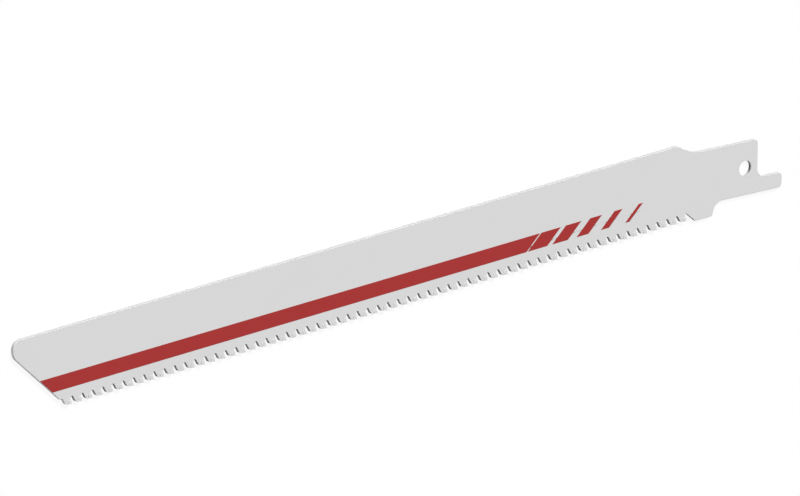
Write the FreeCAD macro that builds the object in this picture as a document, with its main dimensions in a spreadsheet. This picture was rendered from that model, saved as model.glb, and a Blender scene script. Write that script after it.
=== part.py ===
import FreeCAD, Part
import math
import os

import Sketcher

# Reciprocating saw blade, in millimetres.
# The origin is the centre of the pin hole, halfway through the steel.
# +X runs along the back edge towards the tang, +Y goes to the back edge and
# +Z comes out of the printed face. The teeth point to -Y and cut towards +X.

doc = FreeCAD.newDocument("ReciprocatingSawBlade")

# Driving dimensions: name, value, meaning.
SIZES = [
    ("blade_length", 225.0, "nose to the end of the tang leg"),
    ("steel_thickness", 0.9, "sheet that the blank is cut from"),
    ("back_height", 9.86, "pin to the back edge"),
    ("tooth_line", 8.36, "pin down to the cutting corners"),
    ("nose_angle", 45.0, "slanted nose against the back edge"),
    ("nose_drop", 3.75, "back edge down to where the slant begins"),
    ("nose_round", 3.2, "where the slant begins"),
    ("nose_back_round", 2.1, "nose at the back edge"),
    ("neck_start", 19.78, "pin to where the back edge drops"),
    ("neck_angle", 33.0, "slope of the neck"),
    ("neck_outer_round", 3.0, "top of the neck"),
    ("neck_inner_round", 13.5, "foot of the neck, on the tang"),
    ("tang_cant", 3.18, "tang axis against the back edge"),
    ("tang_width", 12.6, "across the tang"),
    ("tang_heel", 3.7, "pin to the square end"),
    ("tang_reach", 10.85, "pin to the end of the leg, along X"),
    ("heel_round", 1.0, "outer corner of the square end"),
    ("leg_drop", 2.8, "tang axis down to the top of the leg"),
    ("leg_root_round", 2.2, "inside the step above the leg"),
    ("leg_tip_round", 0.95, "both corners at the end of the leg"),
    ("boss_step", 0.59, "cutting corners down to the foot of the shoulder"),
    ("boss_rear", 10.24, "pin to the shoulder's corner beside the tang"),
    ("boss_lean", 17.0, "wall between that corner and the tang, off square"),
    ("boss_round", 3.0, "where that wall meets the tang"),
    ("relief_mouth", 2.79, "last cutting corner to the shoulder's corner"),
    ("relief_angle", 42.0, "slanted wall between last tooth and shoulder"),
    ("relief_round", 0.25, "root of the relief"),
    ("tooth_pitch", 2.954, "one tooth to the next"),
    ("last_tooth", 17.97, "pin to the last cutting corner"),
    ("gullet_rise", 0.84, "top of the carbide up to the root of the gullet"),
    ("gullet_round", 0.43, "root of the gullet"),
    ("rake_angle", 12.0, "rake face leans over the gullet"),
    ("clearance_angle", 6.3, "crown falls away behind the cutting corner"),
    ("back_lean", 27.5, "back of a tooth, off square"),
    ("shoulder_round", 0.55, "from the back of a tooth to its crown"),
    ("tip_length", 0.95, "carbide along the crown"),
    ("tip_height", 1.0, "carbide up the rake face"),
    ("side_clearance", 0.1, "carbide stands proud of each face"),
    ("pin_hole", 3.6, "diameter of the hole for the chuck's pin"),
    ("ink_thickness", 0.03, "printed film"),
    ("band_top", 0.95, "pin down to the top of the printed band"),
    ("band_height", 3.5, "height of the band and of its dashes"),
    ("band_margin", 0.1, "bare edge at the nose"),
    ("dash_angle", 40.0, "slant of the dashes"),
    ("dash_count", 5, "number of dashes"),
    ("dash_gap", 0.45, "bare slit between the band and its first dash"),
    ("dash_start", 60.86, "pin to the first dash, at its top"),
    ("dash_pitch", 7.23, "one dash to the next"),
    ("dash_width", 5.72, "first dash, along the band"),
    ("dash_step", 1.12, "each dash is this much narrower"),
]

sheet = doc.addObject("Spreadsheet::Sheet", "Sizes")
for row, (alias, value, meaning) in enumerate(SIZES, start=1):
    sheet.set("A%d" % row, alias.replace("_", " "))
    sheet.set("B%d" % row, str(value))
    sheet.setAlias("B%d" % row, alias)
    sheet.set("C%d" % row, meaning)
doc.recompute()

# Angles as formulas that the sketches and the code below share.
NOSE = "(Sizes.nose_angle * 1 deg)"
NECK = "(Sizes.neck_angle * 1 deg)"
CANT = "(Sizes.tang_cant * 1 deg)"
LEAN = "(Sizes.boss_lean * 1 deg)"
RELIEF = "(Sizes.relief_angle * 1 deg)"
RAKE = "(Sizes.rake_angle * 1 deg)"
CLEAR = "(Sizes.clearance_angle * 1 deg)"
BACK = "(Sizes.back_lean * 1 deg)"
DASH = "(Sizes.dash_angle * 1 deg)"


def number(formula):
    """The present value of a formula, in millimetres or degrees."""
    value = sheet.evalExpression(formula)
    return float(getattr(value, "Value", value))


def vector(point):
    return FreeCAD.Vector(number(point[0]), number(point[1]), 0)


def heading(formula):
    """Unit vector at an angle from +X."""
    turn = math.radians(number(formula))
    return FreeCAD.Vector(math.cos(turn), math.sin(turn), 0)


# Sketches


def new_body(name, pieces=False):
    body = doc.addObject("PartDesign::Body", name)
    body.Label = name
    body.AllowCompound = pieces
    return body


def origin_item(body, role):
    """The body's own plane or axis with this role."""
    return [item for item in body.Origin.OriginFeatures if item.Role == role][0]


def new_sketch(body, name, height=None, turn=None):
    """A sketch on the body's own mid plane, raised or turned about the pin."""
    sketch = body.newObject("Sketcher::SketchObject", name)
    sketch.AttachmentSupport = (origin_item(body, "XY_Plane"), "")
    sketch.MapMode = "FlatFace"
    if height:
        sketch.setExpression("AttachmentOffset.Base.z", height)
    if turn:
        axis = FreeCAD.Vector(0, 0, 1)
        sketch.AttachmentOffset = FreeCAD.Placement(
            FreeCAD.Vector(), FreeCAD.Rotation(axis, number(turn)))
        sketch.setExpression("AttachmentOffset.Rotation.Angle", turn)
    return sketch


def bind(sketch, formula, *constraint):
    """Adds a dimension and ties it to a formula."""
    value = number(formula)
    if constraint[0] == "Angle":
        value = math.radians(value)
    index = sketch.addConstraint(Sketcher.Constraint(*constraint, value))
    sketch.setExpression("Constraints[%d]" % index, formula)


def pin(sketch, line, end, point):
    """Ties one end of a line to a point given as two formulas."""
    bind(sketch, point[0], "DistanceX", -1, 1, line, end)
    bind(sketch, point[1], "DistanceY", -1, 1, line, end)


def add_line(sketch, start, end):
    return sketch.addGeometry(Part.LineSegment(start, end), False)


def add_arc(sketch, centre, start, end, radius):
    """An arc that runs anticlockwise, with its radius tied to a size."""
    circle = Part.Circle(centre, FreeCAD.Vector(0, 0, 1), number(radius))
    turns = [math.atan2(point.y - centre.y, point.x - centre.x) for point in (start, end)]
    arc = sketch.addGeometry(Part.ArcOfCircle(circle, *turns), False)
    bind(sketch, radius, "Radius", arc)
    return arc


def add_polygon(sketch, corners):
    """A closed outline whose corners are all given as formulas."""
    points = [vector(corner) for corner in corners]
    lines = [add_line(sketch, start, end) for start, end in zip(points, points[1:] + points[:1])]
    for line, follower in zip(lines, lines[1:] + lines[:1]):
        sketch.addConstraint(Sketcher.Constraint("Coincident", line, 2, follower, 1))
    for line, corner in zip(lines, corners):
        pin(sketch, line, 1, corner)


def crossing(start, along_start, end, along_end):
    """Where two walls meet."""
    cross = along_start.x * along_end.y - along_start.y * along_end.x
    gap = end - start
    return start + along_start * ((gap.x * along_end.y - gap.y * along_end.x) / cross)


def rounding(start, along_start, end, along_end, radius):
    """Centre and ends of the arc between two walls that run towards their corner."""
    corner = crossing(start, along_start, end, along_end)
    half = along_start.negative().getAngle(along_end.negative()) / 2
    inward = (along_start + along_end).negative().normalize()
    setback = radius / math.tan(half)
    return (corner + inward * (radius / math.sin(half)),
            corner - along_start * setback,
            corner - along_end * setback)


# Features


def add_pad(body, sketch, name, thickness, symmetric=True):
    pad = body.newObject("PartDesign::Pad", name)
    pad.Profile = sketch
    pad.SideType = "Symmetric" if symmetric else "One side"
    pad.setExpression("Length", thickness)
    return pad


def add_cut(body, sketch, name):
    """A cut right through the sheet, both ways from the mid plane."""
    doc.recompute()
    before = body.Shape.Volume
    cut = body.newObject("PartDesign::Pocket", name)
    cut.Profile = sketch
    cut.Type = "ThroughAll"
    cut.SideType = "Symmetric"
    doc.recompute()
    if body.Shape.Volume >= before:
        raise ValueError(name + " removes nothing")
    return cut


def repeat_teeth(body, feature, name):
    """Repeats the last tooth's feature along the row, towards the nose."""
    row = body.newObject("PartDesign::LinearPattern", name)
    row.Originals = [feature]
    row.Direction = (origin_item(body, "X_Axis"), [""])
    row.Reversed = True
    row.Mode = "Extent"
    row.setExpression("Length", "Sizes.tooth_pitch * (%s - 1)" % TOOTH_COUNT)
    row.setExpression("Occurrences", TOOTH_COUNT)
    body.Tip = row
    return row


def round_corners(body, name, radius, corners):
    """Rounds the upright edges that stand at the given points."""
    doc.recompute()
    base = body.Tip
    upright = {}
    for index, edge in enumerate(base.Shape.Edges, start=1):
        ends = [vertex.Point for vertex in edge.Vertexes]
        if len(ends) == 2 and math.hypot(ends[0].x - ends[1].x, ends[0].y - ends[1].y) < 1e-6:
            upright["Edge%d" % index] = FreeCAD.Vector(ends[0].x, ends[0].y, 0)
    picked = [min(upright, key=lambda edge: upright[edge].distanceToPoint(corner))
              for corner in corners]
    feature = body.newObject("PartDesign::Fillet", name)
    feature.Base = (base, picked)
    feature.setExpression("Radius", radius)
    return feature


# Outline of the blank, with its corners still sharp.
NOSE_X = "Sizes.tang_reach - Sizes.blade_length"
NOSE_BACK = (NOSE_X, "Sizes.back_height")
NOSE_FRONT = (NOSE_X, "Sizes.back_height - Sizes.nose_drop")


def nose_at(drop, inset="0"):
    """A point on the slanted nose, this far below the pin."""
    return ("%s + (%s + %s) / tan(%s) + %s / sin(%s)"
            % (NOSE_X, NOSE_FRONT[1], drop, NOSE, inset, NOSE), "-" + drop)


NECK_CORNER = ("-Sizes.neck_start", "Sizes.back_height")
BOSS_DROP = "(Sizes.tooth_line + Sizes.boss_step)"
BOSS_REAR = ("-Sizes.boss_rear", "-" + BOSS_DROP)
BOSS_FRONT = ("-Sizes.last_tooth + Sizes.relief_mouth", "-" + BOSS_DROP)
RELIEF_MIDDLE = "-Sizes.last_tooth + Sizes.relief_mouth / 2"

BLANK = [
    NOSE_BACK,
    NOSE_FRONT,
    nose_at("Sizes.tooth_line"),
    (RELIEF_MIDDLE, "-Sizes.tooth_line"),
    (RELIEF_MIDDLE, "-" + BOSS_DROP),
    BOSS_REAR,
    ("-Sizes.boss_rear + Sizes.tang_width / 2 * tan(%s)" % LEAN,
     "-%s + Sizes.tang_width / 2" % BOSS_DROP),
    ("-Sizes.boss_rear",
     "Sizes.back_height - (Sizes.neck_start - Sizes.boss_rear) * tan(%s)" % NECK),
    NECK_CORNER,
]

# Outline of the tang in its own frame, which is turned about the pin.
LEG_END = ("(Sizes.tang_reach + (Sizes.leg_drop + Sizes.leg_tip_round) * sin(%s)) / cos(%s)"
           % (CANT, CANT))
HALF_TANG = "Sizes.tang_width / 2"
TANG = [
    ("-Sizes.neck_start", HALF_TANG),
    ("-Sizes.neck_start", "-" + HALF_TANG),
    (LEG_END, "-" + HALF_TANG),
    (LEG_END, "-Sizes.leg_drop"),
    ("Sizes.tang_heel", "-Sizes.leg_drop"),
    ("Sizes.tang_heel", HALF_TANG),
]


def on_tang(point):
    """A point of the tang's frame, in the blade's."""
    turned = FreeCAD.Rotation(FreeCAD.Vector(0, 0, 1), -number(CANT))
    return turned.multVec(vector(point))


def tang_edge(run):
    """How far the tang's edge is from the pin along Y, this far towards the nose."""
    return "(%s / cos(%s) + %s * tan(%s))" % (HALF_TANG, CANT, run, CANT)


# Of a short wall, the share that its rounds may take.
ROUNDED_SHARE = "0.98"


def fitted_round(radius, wall, taken, turn):
    """A round as large as its size says, or as its wall still holds.

    A round takes its radius times tan(turn / 2) of the wall.
    """
    return ("min(%s; (%s * %s - %s) / tan((%s) / 2))"
            % (radius, ROUNDED_SHARE, wall, taken, turn))


NOSE_ROUND = fitted_round("Sizes.nose_round", "Sizes.nose_drop", "Sizes.nose_back_round", NOSE)
NECK_WALL = ("(Sizes.back_height - %s) / (sin(%s) - cos(%s) * tan(%s))"
             % (tang_edge("Sizes.neck_start"), NECK, NECK, CANT))
NECK_TOP_TAKES = "Sizes.neck_outer_round * tan(%s / 2)" % NECK
NECK_FOOT_ROUND = fitted_round(
    "Sizes.neck_inner_round", NECK_WALL, NECK_TOP_TAKES, "%s - %s" % (NECK, CANT))
BOSS_WALL = ("(%s - %s) / (cos(%s) + sin(%s) * tan(%s))"
             % (BOSS_DROP, tang_edge("-Sizes.boss_rear"), LEAN, LEAN, CANT))
BOSS_ROUND = fitted_round("Sizes.boss_round", BOSS_WALL, "0", "90 deg - %s + %s" % (LEAN, CANT))

# One tooth, at the tang end of the row. Its cutting corner is TIP. The rake
# face climbs from there over the next gullet, and the crown falls away behind.
TIP = ("-Sizes.last_tooth", "-Sizes.tooth_line")
RAKE_TOP = ("-Sizes.last_tooth - Sizes.tip_height * tan(%s)" % RAKE,
            "-Sizes.tooth_line + Sizes.tip_height")
SEAT_CORNER = (RAKE_TOP[0] + " - Sizes.tip_length", RAKE_TOP[1])
CROWN_RUN = "Sizes.tip_length / (1 - tan(%s) * tan(%s))" % (RAKE, CLEAR)
CROWN_END = ("-Sizes.last_tooth - " + CROWN_RUN,
             "-Sizes.tooth_line + %s * tan(%s)" % (CROWN_RUN, CLEAR))
GULLET_DEPTH = "(Sizes.tip_height + Sizes.gullet_rise)"
UNDER_TEETH = "-%s - %s" % (BOSS_DROP, GULLET_DEPTH)
RAKE_TURN = "90 deg + " + RAKE
BACK_TURN = "90 deg + " + BACK
CROWN_TURN = "180 deg - " + CLEAR
RELIEF_TURN = "180 deg - " + RELIEF


# Centre of the gullet's root, from the cutting corner behind it.
GULLET_Y = "(%s - Sizes.gullet_round)" % GULLET_DEPTH
GULLET_X = "((Sizes.gullet_round - %s * sin(%s)) / cos(%s))" % (GULLET_Y, RAKE, RAKE)

# The crown and the back of a tooth up to their common corner, and its round.
CROWN_WALL = ("((Sizes.tooth_pitch - %s - %s) * cos(%s) + (%s * tan(%s) - %s) * sin(%s)"
              " - Sizes.gullet_round) / cos(%s + %s)"
              % (CROWN_RUN, GULLET_X, BACK, CROWN_RUN, CLEAR, GULLET_Y, BACK, CLEAR, BACK))
BACK_WALL = ("((%s + Sizes.gullet_round * cos(%s) - Sizes.tooth_pitch) * sin(%s)"
             " + (%s + Sizes.gullet_round * sin(%s)) * cos(%s)) / cos(%s + %s)"
             % (GULLET_X, BACK, CLEAR, GULLET_Y, BACK, CLEAR, CLEAR, BACK))
SHOULDER_ROUND = fitted_round(
    "Sizes.shoulder_round", "min(%s; %s)" % (CROWN_WALL, BACK_WALL), "0",
    "90 deg - %s - %s" % (CLEAR, BACK))

# As many teeth as find room for their tips between the last one and the nose.
TOOTH_ROW = "-Sizes.last_tooth - (%s) - %s" % (nose_at("Sizes.tooth_line")[0], CROWN_RUN)
TOOTH_COUNT = "(floor((%s) / Sizes.tooth_pitch) + 1)" % TOOTH_ROW


def behind(point):
    """The same point one tooth nearer the nose."""
    return (point[0] + " - Sizes.tooth_pitch", point[1])


def draw_tooth_gap(sketch):
    """What is cut away for one tooth: gullet, back, crown and seat of the tip."""
    # Root of the gullet, touching the rake face of the tooth behind.
    root = vector(behind(TIP)) + FreeCAD.Vector(number(GULLET_X), number(GULLET_Y), 0)
    radius = number("Sizes.gullet_round")
    rake_end = root + heading("180 deg + " + RAKE) * radius
    back_top = root + heading(BACK) * radius
    # Round shoulder from the back of the tooth to its crown.
    crown_end = vector(CROWN_END)
    down_back = heading(BACK_TURN).negative()
    shoulder, back_foot, crown_start = rounding(
        back_top, down_back, crown_end, heading(CROWN_TURN), number(SHOULDER_ROUND))

    rake_wall = add_line(sketch, vector(behind(RAKE_TOP)), rake_end)
    root_arc = add_arc(sketch, root, back_top, rake_end, "Sizes.gullet_round")
    back_wall = add_line(sketch, back_foot, back_top)
    shoulder_arc = add_arc(sketch, shoulder, back_foot, crown_start, SHOULDER_ROUND)
    crown = add_line(sketch, crown_end, crown_start)
    for ends in ((rake_wall, 2, root_arc, 2), (root_arc, 1, back_wall, 2),
                 (back_wall, 1, shoulder_arc, 1), (shoulder_arc, 2, crown, 2)):
        sketch.addConstraint(Sketcher.Constraint("Tangent", *ends))
    bind(sketch, RAKE_TURN, "Angle", rake_wall)
    bind(sketch, BACK_TURN, "Angle", back_wall)
    bind(sketch, CROWN_TURN, "Angle", crown)
    bind(sketch, "-Sizes.tooth_line + " + GULLET_Y, "DistanceY", -1, 1, root_arc, 3)

    # Seat of the carbide tip, and the way out under the teeth.
    rest = [CROWN_END, SEAT_CORNER, RAKE_TOP, (RAKE_TOP[0], UNDER_TEETH),
            (behind(RAKE_TOP)[0], UNDER_TEETH), behind(RAKE_TOP)]
    close_outline(sketch, crown, rake_wall, rest)


def draw_relief(sketch):
    """The wide gap between the last tooth and the shoulder."""
    rake_top = vector(RAKE_TOP)
    boss_front = vector(BOSS_FRONT)
    centre, rake_end, slope_top = rounding(
        rake_top, heading(RAKE_TURN), boss_front, heading(RELIEF_TURN), number("Sizes.relief_round"))
    rake_wall = add_line(sketch, rake_top, rake_end)
    root_arc = add_arc(sketch, centre, slope_top, rake_end, "Sizes.relief_round")
    slope = add_line(sketch, boss_front, slope_top)
    sketch.addConstraint(Sketcher.Constraint("Tangent", rake_wall, 2, root_arc, 2))
    sketch.addConstraint(Sketcher.Constraint("Tangent", root_arc, 1, slope, 2))
    bind(sketch, RAKE_TURN, "Angle", rake_wall)
    bind(sketch, RELIEF_TURN, "Angle", slope)
    rest = [BOSS_FRONT, (BOSS_FRONT[0], UNDER_TEETH), (RAKE_TOP[0], UNDER_TEETH), RAKE_TOP]
    close_outline(sketch, slope, rake_wall, rest)


def close_outline(sketch, last, first, corners):
    """Straight lines from the start of the last wall round to the start of the first."""
    points = [vector(corner) for corner in corners]
    pin(sketch, last, 1, corners[0])
    joint = (last, 1)
    for start, end, corner in zip(points, points[1:], corners[1:]):
        line = add_line(sketch, start, end)
        sketch.addConstraint(Sketcher.Constraint("Coincident", *joint, line, 1))
        pin(sketch, line, 2, corner)
        joint = (line, 2)
    sketch.addConstraint(Sketcher.Constraint("Coincident", *joint, first, 1))


def make_blade_body():
    """The steel: one blank with its teeth, seats, relief and pin hole."""
    body = new_body("blade_body")
    blank = new_sketch(body, "blank_outline")
    add_polygon(blank, BLANK)
    add_pad(body, blank, "blank", "Sizes.steel_thickness")
    tang = new_sketch(body, "tang_outline", turn="-" + CANT)
    add_polygon(tang, TANG)
    add_pad(body, tang, "tang", "Sizes.steel_thickness")

    along_tang = heading("-" + CANT)
    neck_foot = crossing(vector(NECK_CORNER), heading("-" + NECK), on_tang(TANG[5]), along_tang)
    boss_top = crossing(vector(BOSS_REAR), heading("90 deg - " + LEAN), on_tang(TANG[2]), along_tang)
    round_corners(body, "nose_front", NOSE_ROUND, [vector(NOSE_FRONT)])
    round_corners(body, "nose_back", "Sizes.nose_back_round", [vector(NOSE_BACK)])
    round_corners(body, "neck_top", "Sizes.neck_outer_round", [vector(NECK_CORNER)])
    round_corners(body, "neck_foot", NECK_FOOT_ROUND, [neck_foot])
    round_corners(body, "boss_wall", BOSS_ROUND, [boss_top])
    round_corners(body, "heel", "Sizes.heel_round", [on_tang(TANG[5])])
    round_corners(body, "leg_root", "Sizes.leg_root_round", [on_tang(TANG[4])])
    round_corners(body, "leg_tip", "Sizes.leg_tip_round", [on_tang(TANG[3]), on_tang(TANG[2])])

    hole = new_sketch(body, "pin_circle")
    circle = Part.Circle(FreeCAD.Vector(), FreeCAD.Vector(0, 0, 1), number("Sizes.pin_hole / 2"))
    ring = hole.addGeometry(circle, False)
    hole.addConstraint(Sketcher.Constraint("Coincident", ring, 3, -1, 1))
    bind(hole, "Sizes.pin_hole", "Diameter", ring)
    add_cut(body, hole, "pin_hole")

    relief = new_sketch(body, "relief_outline")
    draw_relief(relief)
    add_cut(body, relief, "relief")

    gap = new_sketch(body, "tooth_gap_outline")
    draw_tooth_gap(gap)
    repeat_teeth(body, add_cut(body, gap, "tooth_gap"), "tooth_row")
    return body


def make_carbide_tips():
    """A small block of carbide in the seat of each tooth, a little wider than the steel."""
    body = new_body("carbide_tips", pieces=True)
    outline = new_sketch(body, "tip_outline")
    add_polygon(outline, [TIP, CROWN_END, SEAT_CORNER, RAKE_TOP])
    width = "Sizes.steel_thickness + 2 * Sizes.side_clearance"
    repeat_teeth(body, add_pad(body, outline, "tip", width), "tip_row")
    return body


def make_red_print():
    """The printed band and its dashes, as a film on the steel."""
    body = new_body("red_print", pieces=True)
    outline = new_sketch(body, "print_outline", height="Sizes.steel_thickness / 2")
    top = "-Sizes.band_top"
    bottom = "-Sizes.band_top - Sizes.band_height"
    slant = "Sizes.band_height / tan(%s)" % DASH
    band_end = "-Sizes.dash_start - Sizes.dash_gap"
    add_polygon(outline, [
        nose_at("Sizes.band_top", "Sizes.band_margin"),
        nose_at("(Sizes.band_top + Sizes.band_height)", "Sizes.band_margin"),
        (band_end + " - " + slant, bottom),
        (band_end, top),
    ])
    for index in range(int(number("Sizes.dash_count"))):
        left = "-Sizes.dash_start + %d * Sizes.dash_pitch" % index
        right = left + " + Sizes.dash_width - %d * Sizes.dash_step" % index
        add_polygon(outline, [
            (left, top),
            (left + " - " + slant, bottom),
            (right + " - " + slant, bottom),
            (right, top),
        ])
    add_pad(body, outline, "print_film", "Sizes.ink_thickness", symmetric=False)
    return body


bodies = [make_blade_body(), make_carbide_tips(), make_red_print()]
doc.recompute()

for item in doc.Objects:
    if "Invalid" in item.State or "Error" in item.State:
        raise ValueError("%s did not build: %s" % (item.Name, item.State))
for body in bodies:
    if body.Shape.isNull() or not body.Shape.isValid():
        raise ValueError(body.Label + " has no valid shape")

os.makedirs("parts", exist_ok=True)
for body in bodies:
    body.Shape.exportStep("parts/" + body.Label + ".step")
    box = body.Shape.BoundBox
    print(body.Label, len(body.Shape.Solids), "solids, volume %.3f mm3" % body.Shape.Volume,
          "X %.3f..%.3f Y %.3f..%.3f Z %.3f..%.3f"
          % (box.XMin, box.XMax, box.YMin, box.YMax, box.ZMin, box.ZMax))
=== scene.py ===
import math

import bmesh
import bpy
from mathutils import Matrix, Quaternion, Vector


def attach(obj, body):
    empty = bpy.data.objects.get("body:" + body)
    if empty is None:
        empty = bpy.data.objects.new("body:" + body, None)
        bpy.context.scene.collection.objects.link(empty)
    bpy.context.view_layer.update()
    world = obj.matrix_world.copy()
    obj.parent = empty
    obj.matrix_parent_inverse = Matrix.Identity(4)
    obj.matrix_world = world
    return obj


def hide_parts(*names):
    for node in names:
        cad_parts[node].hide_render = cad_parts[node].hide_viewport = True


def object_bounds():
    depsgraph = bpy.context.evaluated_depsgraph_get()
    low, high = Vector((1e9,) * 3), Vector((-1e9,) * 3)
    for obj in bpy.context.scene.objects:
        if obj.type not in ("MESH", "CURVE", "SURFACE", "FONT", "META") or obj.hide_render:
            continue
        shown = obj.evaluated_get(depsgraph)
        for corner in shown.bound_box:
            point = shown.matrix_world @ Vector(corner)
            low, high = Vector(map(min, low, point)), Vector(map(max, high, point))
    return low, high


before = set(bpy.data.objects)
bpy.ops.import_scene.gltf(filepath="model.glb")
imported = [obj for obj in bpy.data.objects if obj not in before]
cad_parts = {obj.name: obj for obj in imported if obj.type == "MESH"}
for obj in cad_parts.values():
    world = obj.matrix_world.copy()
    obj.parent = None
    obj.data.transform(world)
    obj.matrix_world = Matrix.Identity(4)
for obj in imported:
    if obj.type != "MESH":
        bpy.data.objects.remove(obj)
cad_low, cad_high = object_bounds()
MM = 0.001

# Blade
# One blank cut from 0.9 mm spring steel: nose, back edge, neck, tang with its
# pin hole, shoulder, and a row of teeth with seats for the carbide. All its
# cut edges are lightly broken before it is coated. Sizes are in millimetres.

STEEL_THICKNESS = 0.9
NOSE_X = -214.15
BACK_HEIGHT = 9.86
TOOTH_LINE = 8.36
NOSE_ANGLE = math.radians(45)
NOSE_DROP = 3.75
NOSE_ROUND = 3.2
NOSE_BACK_ROUND = 2.1
NECK_START = 19.78
NECK_ANGLE = math.radians(33)
NECK_OUTER_ROUND = 3.0
NECK_INNER_ROUND = 13.5
TANG_CANT = math.radians(3.18)
HALF_TANG = 6.3
TANG_HEEL = 3.7
TANG_REACH = 10.85
HEEL_ROUND = 1.0
LEG_DROP = 2.8
LEG_ROOT_ROUND = 2.2
LEG_TIP_ROUND = 0.95
BOSS_DROP = 8.95
BOSS_FRONT = -15.18
BOSS_REAR = -10.24
BOSS_LEAN = math.radians(17)
BOSS_ROUND = 3.0
RELIEF_ANGLE = math.radians(42)
RELIEF_ROUND = 0.25
TOOTH_COUNT = 62
TOOTH_PITCH = 2.954
LAST_TOOTH = 17.97
GULLET_DEPTH = 1.84
GULLET_ROUND = 0.43
RAKE_ANGLE = math.radians(12)
CLEARANCE_ANGLE = math.radians(6.3)
BACK_LEAN = math.radians(27.5)
SHOULDER_ROUND = 0.55
TIP_LENGTH = 0.95
TIP_HEIGHT = 1.0
PIN_HOLE = 3.6
HOLE_POINTS = 72
BROKEN_EDGE = 0.1
CRISP_EDGE = 0.04
SHARP = math.radians(30)
CHORD_ERROR = 0.002
SAME_PLACE = 0.001
RIGHT_ANGLE = math.pi / 2


def heading(angle):
    """Unit vector at an angle from +X."""
    return Vector((math.cos(angle), math.sin(angle)))


def crossing(start, along_start, end, along_end):
    """Where two walls meet."""
    cross = along_start.x * along_end.y - along_start.y * along_end.x
    gap = end - start
    return start + along_start * ((gap.x * along_end.y - gap.y * along_end.x) / cross)


def new_piece(name):
    """An empty mesh at the origin, open for editing."""
    bpy.ops.object.select_all(action="DESELECT")
    bpy.ops.mesh.primitive_plane_add(size=MM)
    piece = bpy.context.object
    piece.name = piece.data.name = name
    bpy.ops.object.mode_set(mode="EDIT")
    bpy.ops.mesh.select_mode(type="VERT")
    bpy.ops.mesh.delete(type="VERT")
    return piece


def pick(piece, test):
    """Selects the points whose place in millimetres passes the test."""
    bpy.ops.mesh.select_all(action="DESELECT")
    mesh = bmesh.from_edit_mesh(piece.data)
    for point in mesh.verts:
        point.select = bool(test(point.co / MM))
    mesh.select_flush_mode()
    bmesh.update_edit_mesh(piece.data)


def start_walls(point, height):
    """Puts down the single point that a line of walls grows from."""
    bpy.ops.mesh.select_all(action="DESELECT")
    bpy.ops.mesh.primitive_plane_add(
        size=MM, location=(point.x * MM, point.y * MM, height * MM))
    bpy.ops.mesh.merge(type="CENTER")


def draw_wall(start, end):
    """A straight wall from the selected point."""
    step = (end - start) * MM
    bpy.ops.mesh.extrude_region_move(
        TRANSFORM_OT_translate={"value": (step.x, step.y, 0)})
    return end


def draw_round(start, centre, turn):
    """A round wall from the selected point, anticlockwise if the turn is positive."""
    spoke = start - centre
    facet = 2 * math.acos(1 - CHORD_ERROR / spoke.length)
    bpy.ops.mesh.spin(steps=math.ceil(abs(turn) / facet), angle=-turn,
                      center=(centre.x * MM, centre.y * MM, 0), axis=(0, 0, 1),
                      use_auto_merge=False)
    return centre + Matrix.Rotation(turn, 2) @ spoke


def draw_outline(start, corners):
    """Walls from corner to corner. Each corner comes with the radius of its round."""
    place = start
    for (corner, radius), (following, _) in zip(corners, corners[1:] + [(None, 0)]):
        if not radius:
            place = draw_wall(place, corner)
            continue
        inward = (corner - place).normalized()
        turn = -inward.angle_signed((following - corner).normalized())
        side = inward.orthogonal() * math.copysign(1, turn)
        foot = corner - inward * radius * math.tan(abs(turn) / 2)
        place = draw_round(draw_wall(place, foot), foot + side * radius, turn)
    return place


def copy_along_row():
    """Copies all that is drawn so far from the last tooth to the first."""
    bpy.ops.mesh.select_all(action="SELECT")
    for _ in range(TOOTH_COUNT - 1):
        bpy.ops.mesh.duplicate_move(
            TRANSFORM_OT_translate={"value": (-TOOTH_PITCH * MM, 0, 0)})


def join_points():
    """Makes one point of those that lie on each other."""
    bpy.ops.mesh.select_all(action="SELECT")
    bpy.ops.mesh.remove_doubles(threshold=SAME_PLACE * MM)


def press_out(thickness):
    """Gives the flat outline its thickness, with all faces pointing outwards."""
    bpy.ops.mesh.select_all(action="SELECT")
    bpy.ops.mesh.extrude_region_move(
        TRANSFORM_OT_translate={"value": (0, 0, thickness * MM)})
    bpy.ops.mesh.select_all(action="SELECT")
    bpy.ops.mesh.normals_make_consistent(inside=False)


def on_tang(x, y):
    """A point of the tang, which is canted about the pin."""
    return Matrix.Rotation(-TANG_CANT, 2) @ Vector((x, y))


blade = new_piece("saw_blade")

# One tooth: seat of its tip, crown, round shoulder, back, gullet and the rake
# face of the tooth behind. It is drawn once and copied along the row.
crown_run = TIP_LENGTH / (1 - math.tan(RAKE_ANGLE) * math.tan(CLEARANCE_ANGLE))
cutting_corner = Vector((-LAST_TOOTH, -TOOTH_LINE))
rake_top = cutting_corner + Vector((-TIP_HEIGHT * math.tan(RAKE_ANGLE), TIP_HEIGHT))
seat_corner = rake_top - Vector((TIP_LENGTH, 0))
crown_end = cutting_corner + Vector((-1, math.tan(CLEARANCE_ANGLE))) * crown_run
one_pitch = Vector((TOOTH_PITCH, 0))
root_rise = GULLET_DEPTH - GULLET_ROUND
root_reach = (GULLET_ROUND - root_rise * math.sin(RAKE_ANGLE)) / math.cos(RAKE_ANGLE)
gullet_root = cutting_corner - one_pitch + Vector((root_reach, root_rise))
back_top = gullet_root + heading(BACK_LEAN) * GULLET_ROUND
crown_way = heading(math.pi - CLEARANCE_ANGLE)
back_way = heading(RIGHT_ANGLE + BACK_LEAN)
tooth_shoulder = crossing(crown_end, crown_way, back_top, back_way)

start_walls(rake_top, -STEEL_THICKNESS / 2)
place = draw_outline(rake_top, [(seat_corner, 0), (crown_end, 0),
                                (tooth_shoulder, SHOULDER_ROUND), (back_top, 0)])
place = draw_round(place, gullet_root, math.pi + RAKE_ANGLE - BACK_LEAN)
draw_wall(place, rake_top - one_pitch)
copy_along_row()
join_points()

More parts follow.
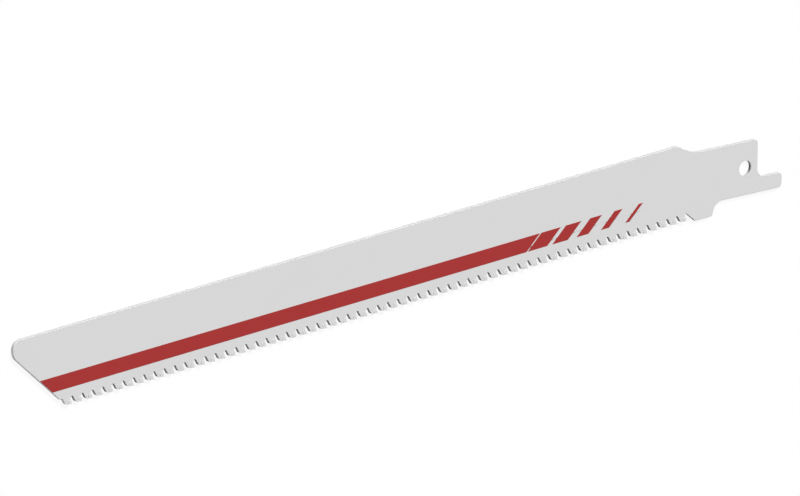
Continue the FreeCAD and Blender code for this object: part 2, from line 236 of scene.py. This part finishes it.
# The slanted nose cuts the row off, and the rest of the outline runs from
# there round the nose, the back edge, the tang and the relief.
nose_front = Vector((NOSE_X, BACK_HEIGHT - NOSE_DROP))
slant_out = Vector((math.sin(NOSE_ANGLE), math.cos(NOSE_ANGLE), 0))
bpy.ops.mesh.select_all(action="SELECT")
bpy.ops.mesh.bisect(plane_co=nose_front.to_3d() * MM, plane_no=slant_out,
                    clear_inner=True, threshold=SAME_PLACE * MM)
row = bmesh.from_edit_mesh(blade.data)
row_end = min((point.co / MM for point in row.verts), key=lambda place: place.x).to_2d()
pick(blade, lambda place: place.x < row_end.x + SAME_PLACE)

neck_corner = Vector((-NECK_START, BACK_HEIGHT))
boss_front = Vector((BOSS_FRONT, -BOSS_DROP))
boss_rear = Vector((BOSS_REAR, -BOSS_DROP))
along_tang = heading(-TANG_CANT)
heel, leg_root = on_tang(TANG_HEEL, HALF_TANG), on_tang(TANG_HEEL, -LEG_DROP)
leg_corner_rise = (LEG_DROP + LEG_TIP_ROUND) * math.sin(TANG_CANT)
leg_end = (TANG_REACH + leg_corner_rise) / math.cos(TANG_CANT)
neck_foot = crossing(neck_corner, heading(-NECK_ANGLE), heel, along_tang)
boss_top = crossing(boss_rear, heading(RIGHT_ANGLE - BOSS_LEAN),
                    on_tang(0, -HALF_TANG), along_tang)
relief_root = crossing(boss_front, heading(math.pi - RELIEF_ANGLE),
                       cutting_corner, heading(RIGHT_ANGLE + RAKE_ANGLE))
edge_over_pin = Vector((0, HALF_TANG / math.cos(TANG_CANT)))
draw_outline(row_end, [
    (nose_front, NOSE_ROUND),
    (Vector((NOSE_X, BACK_HEIGHT)), NOSE_BACK_ROUND),
    (neck_corner, NECK_OUTER_ROUND),
    (neck_foot, NECK_INNER_ROUND),
    (edge_over_pin, 0),
    (heel, HEEL_ROUND),
    (leg_root, LEG_ROOT_ROUND),
    (on_tang(leg_end, -LEG_DROP), LEG_TIP_ROUND),
    (on_tang(leg_end, -HALF_TANG), LEG_TIP_ROUND),
    (-edge_over_pin, 0),
    (boss_top, BOSS_ROUND),
    (boss_rear, 0),
    (boss_front, 0),
    (relief_root, RELIEF_ROUND),
    (rake_top, 0),
])

# The pin hole. The face is closed in two halves that meet above and below it.
bpy.ops.mesh.select_all(action="DESELECT")
bpy.ops.mesh.primitive_circle_add(vertices=HOLE_POINTS, radius=PIN_HOLE / 2 * MM,
                                  location=(0, 0, -STEEL_THICKNESS / 2 * MM))
join_points()
for side in (1, -1):
    pick(blade, lambda place: abs(place.x) < SAME_PLACE and place.y * side > 0)
    bpy.ops.mesh.edge_face_add()
for side in (1, -1):
    pick(blade, lambda place: place.x * side > -SAME_PLACE)
    bpy.ops.mesh.edge_face_add()
press_out(STEEL_THICKNESS)


def weigh_sharp_edges(piece, weight, test=None):
    """Adds a bevel weight to the sharp edges whose middle passes the test."""
    bpy.ops.mesh.select_mode(type="EDGE")
    bpy.ops.mesh.select_all(action="DESELECT")
    bpy.ops.mesh.edges_select_sharp(sharpness=SHARP)
    if test:
        mesh = bmesh.from_edit_mesh(piece.data)
        for edge in mesh.edges:
            middle = (edge.verts[0].co + edge.verts[1].co) / 2 / MM
            edge.select = edge.select and test(middle)
        mesh.select_flush_mode()
        bmesh.update_edit_mesh(piece.data)
    bpy.ops.transform.edge_bevelweight(value=weight)
    bpy.ops.mesh.select_mode(type="VERT")


def break_edges(piece, width, segments):
    """Small rounds on the weighted edges, with the flat faces still shading flat."""
    bpy.ops.object.mode_set(mode="OBJECT")
    bpy.ops.object.shade_smooth()
    edges = piece.modifiers.new("broken_edges", "BEVEL")
    edges.width = width * MM
    edges.segments = segments
    edges.limit_method = "WEIGHT"
    edges.use_clamp_overlap = False
    edges.harden_normals = True
    bpy.ops.object.modifier_apply(modifier=edges.name)


def on_plain_edge(middle):
    """True away from the pin hole, the teeth and the relief."""
    off_hole = middle.xy.length > PIN_HOLE / 2 + SAME_PLACE
    by_teeth = row_end.x < middle.x < BOSS_FRONT + SAME_PLACE and middle.y <= 0
    return off_hole and not by_teeth


# The teeth, the relief and the pin hole keep crisper edges than the rest.
crisp_share = CRISP_EDGE / BROKEN_EDGE
weigh_sharp_edges(blade, crisp_share)
weigh_sharp_edges(blade, 1 - crisp_share, on_plain_edge)
break_edges(blade, BROKEN_EDGE, segments=3)
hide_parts("blade_body")
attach(blade, "root")

# The stoved coat. The carbide and the ink share its skin, each with a grain and
# colours of its own.
SKIN_DETAIL = 3
MIX_FROM, MIX_TO, MIX_RESULT = 6, 7, 2  # the colour sockets of a Mix node


def new_material(piece, name):
    """A node material on a piece, as the parts that every finish here starts from."""
    material = bpy.data.materials.new(name)
    material.use_nodes = True
    piece.data.materials.clear()
    piece.data.materials.append(material)
    nodes, links = material.node_tree.nodes, material.node_tree.links
    return nodes, links, nodes["Principled BSDF"]


def new_skin_group():
    """The skin of a stoved coat: a fine height for bump, and a slow drift of tone."""
    group = bpy.data.node_groups.new("stoved_skin", "ShaderNodeTree")
    for name, kind, way in (("Place", "NodeSocketVector", "INPUT"),
                            ("Grain", "NodeSocketFloat", "INPUT"),
                            ("Drift", "NodeSocketFloat", "INPUT"),
                            ("Height", "NodeSocketFloat", "OUTPUT"),
                            ("Tone", "NodeSocketFloat", "OUTPUT")):
        group.interface.new_socket(name=name, socket_type=kind, in_out=way)
    nodes, links = group.nodes, group.links
    inward, outward = nodes.new("NodeGroupInput"), nodes.new("NodeGroupOutput")
    for size, result in (("Grain", "Height"), ("Drift", "Tone")):
        noise = nodes.new("ShaderNodeTexNoise")
        noise.inputs["Detail"].default_value = SKIN_DETAIL
        links.new(inward.outputs["Place"], noise.inputs["Vector"])
        links.new(inward.outputs[size], noise.inputs["Scale"])
        links.new(noise.outputs["Fac"], outward.inputs[result])
    return group


stoved_skin = new_skin_group()


def add_finish(piece, name, grain, drift, depth, colours, roughness, fixed):
    """The skin as bump, and a colour and a roughness that drift between two values.

    The fixed values are the same all over and stand on the shader's own sockets.
    """
    nodes, links, shader = new_material(piece, name)
    for socket, value in fixed.items():
        shader.inputs[socket].default_value = value
    place = nodes.new("ShaderNodeTexCoord")
    skin = nodes.new("ShaderNodeGroup")
    skin.node_tree = stoved_skin
    skin.inputs["Grain"].default_value = grain
    skin.inputs["Drift"].default_value = drift
    links.new(place.outputs["Object"], skin.inputs["Place"])
    bump = nodes.new("ShaderNodeBump")
    bump.inputs["Distance"].default_value = depth * MM
    links.new(skin.outputs["Height"], bump.inputs["Height"])
    links.new(bump.outputs["Normal"], shader.inputs["Normal"])
    tone = nodes.new("ShaderNodeMix")
    tone.data_type = "RGBA"
    links.new(skin.outputs["Tone"], tone.inputs["Factor"])
    tone.inputs[MIX_FROM].default_value, tone.inputs[MIX_TO].default_value = colours
    links.new(tone.outputs[MIX_RESULT], shader.inputs["Base Color"])
    gloss = nodes.new("ShaderNodeMapRange")
    links.new(skin.outputs["Tone"], gloss.inputs["Value"])
    low, high = roughness
    gloss.inputs["To Min"].default_value = low
    gloss.inputs["To Max"].default_value = high
    links.new(gloss.outputs["Result"], shader.inputs["Roughness"])


add_finish(blade, "satin_coat", grain=5200, drift=90, depth=0.004,
           colours=((0.68, 0.68, 0.68, 1), (0.7, 0.7, 0.7, 1)),
           roughness=(0.38, 0.5), fixed={"Specular IOR Level": 0.12})

# Carbide tips
# A block of cemented carbide brazed into each seat and ground: a little wider
# than the steel, and narrower again towards its heel and its root.

SIDE_CLEARANCE = 0.1
HEEL_WIDTH = 0.955
ROOT_WIDTH = 0.965
GROUND_EDGE = 0.025

tips = new_piece("ground_tips")
start_walls(cutting_corner, -STEEL_THICKNESS / 2 - SIDE_CLEARANCE)
draw_outline(cutting_corner, [(crown_end, 0), (seat_corner, 0), (rake_top, 0)])
bpy.ops.mesh.select_all(action="SELECT")
bpy.ops.mesh.edge_face_add()
press_out(STEEL_THICKNESS + 2 * SIDE_CLEARANCE)
for end, width in ((lambda place: place.x < crown_end.x + SAME_PLACE, HEEL_WIDTH),
                   (lambda place: place.y > rake_top.y - SAME_PLACE, ROOT_WIDTH)):
    pick(tips, end)
    bpy.ops.transform.resize(value=(1, 1, width), center_override=(0, 0, 0))
weigh_sharp_edges(tips, 1)
break_edges(tips, GROUND_EDGE, segments=2)
bpy.ops.object.mode_set(mode="EDIT")
copy_along_row()
bpy.ops.object.mode_set(mode="OBJECT")
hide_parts("carbide_tips")
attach(tips, "root")

add_finish(tips, "ground_carbide", grain=9000, drift=400, depth=0.002,
           colours=((0.64, 0.64, 0.645, 1), (0.68, 0.68, 0.685, 1)),
           roughness=(0.28, 0.4), fixed={"Metallic": 0.2})

# Red print
# The band and the five dashes that end it, a film of red ink that was put on
# the coated face with a pad.

add_finish(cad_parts["red_print"], "pad_ink", grain=3000, drift=60, depth=0.003,
           colours=((0.335, 0.024, 0.023, 1), (0.355, 0.027, 0.026, 1)),
           roughness=(0.4, 0.5), fixed={"Specular IOR Level": 0.25})

# Floor
# A white sheet that the blade lies on. The camera sees it as plain white, a
# little darker in the blade's own shadow. It throws little light back.

FLOOR_SIZE = 6.0
FLOOR_BOUNCE = 0.06
SHADOW_SHARE = 0.08

bpy.ops.object.select_all(action="DESELECT")
bpy.ops.mesh.primitive_plane_add(size=FLOOR_SIZE, location=(0, 0, cad_low.z))
floor = bpy.context.object
floor.name = "floor"
bpy.ops.object.transform_apply(location=True)


def seen_rays(nodes, links):
    """1 for what the camera sees, directly, in a reflection or through glass."""
    rays = nodes.new("ShaderNodeLightPath")
    most = rays.outputs["Is Camera Ray"]
    for kind in ("Is Glossy Ray", "Is Transmission Ray"):
        either = nodes.new("ShaderNodeMath")
        either.operation = "MAXIMUM"
        links.new(most, either.inputs[0])
        links.new(rays.outputs[kind], either.inputs[1])
        most = either.outputs["Value"]
    return most


def mixed(nodes, links, first, second):
    """A node that mixes two surfaces. Its Fac is the share of the second."""
    mix = nodes.new("ShaderNodeMixShader")
    links.new(first, mix.inputs[1])
    links.new(second, mix.inputs[2])
    return mix


nodes, links, dull = new_material(floor, "white_sheet")
dull.inputs["Base Color"].default_value = (FLOOR_BOUNCE, FLOOR_BOUNCE, FLOOR_BOUNCE, 1)
dull.inputs["Roughness"].default_value = 1
dull.inputs["Specular IOR Level"].default_value = 0
glow = nodes.new("ShaderNodeEmission")
lit = nodes.new("ShaderNodeBsdfDiffuse")
lit.inputs["Color"].default_value = (1, 1, 1, 1)
seen = mixed(nodes, links, glow.outputs["Emission"], lit.outputs["BSDF"])
seen.inputs["Fac"].default_value = SHADOW_SHARE
choice = mixed(nodes, links, dull.outputs["BSDF"], seen.outputs["Shader"])
links.new(seen_rays(nodes, links), choice.inputs["Fac"])
links.new(choice.outputs["Shader"], nodes["Material Output"].inputs["Surface"])

# Studio light
# A wide lamp stands behind the back edge. A narrow one, low off the nose, lights
# the walls that face it, and a dim surround fills in the rest. The surround is
# white where the camera or a reflection sees it.

SURROUND = 0.05
KEY_STRENGTH = 4.2
KEY_WIDTH = math.radians(25)
KEY_FROM = Vector((0.3, 1.0, 0.95))
FILL_STRENGTH = 1.6
FILL_WIDTH = math.radians(6)
FILL_FROM = Vector((-1.0, 0.1, 0.06))

world = bpy.data.worlds.new("studio")
bpy.context.scene.world = world
world.use_nodes = True
nodes, links = world.node_tree.nodes, world.node_tree.links
strength = nodes.new("ShaderNodeMapRange")
strength.inputs["To Min"].default_value = SURROUND
links.new(seen_rays(nodes, links), strength.inputs["Value"])
links.new(strength.outputs["Result"], nodes["Background"].inputs["Strength"])
nodes["Background"].inputs["Color"].default_value = (1, 1, 1, 1)
for name, energy, width, shines_from in (
        ("key_lamp", KEY_STRENGTH, KEY_WIDTH, KEY_FROM),
        ("fill_lamp", FILL_STRENGTH, FILL_WIDTH, FILL_FROM)):
    lamp = bpy.data.objects.new(name, bpy.data.lights.new(name, "SUN"))
    lamp.data.energy = energy
    lamp.data.angle = width
    lamp.rotation_mode = "QUATERNION"
    lamp.rotation_quaternion = shines_from.to_track_quat("Z", "Y")
    bpy.context.scene.collection.objects.link(lamp)

# Camera
# A very long lens from above the printed face, turned so that the back edge
# climbs gently to the right, as in the photograph.

AZIMUTH = math.radians(152.65)
ELEVATION = math.radians(46.83)
ROLL = math.radians(108.9)
TARGET = Vector((-101.976, 5.067, 0)) * MM
DISTANCE = 5.16447
LENS = 1040

camera = bpy.data.objects.new("camera", bpy.data.cameras.new("camera"))
camera.data.lens = LENS
camera.data.clip_end = 2 * DISTANCE
away = Vector((math.cos(ELEVATION) * math.cos(AZIMUTH),
               math.cos(ELEVATION) * math.sin(AZIMUTH),
               math.sin(ELEVATION)))
camera.location = TARGET + away * DISTANCE
camera.rotation_mode = "QUATERNION"
camera.rotation_quaternion = away.to_track_quat("Z", "Y") @ Quaternion((0, 0, 1), ROLL)
bpy.context.scene.collection.objects.link(camera)
bpy.context.scene.camera = camera
bpy.context.scene.view_settings.view_transform = "Standard"
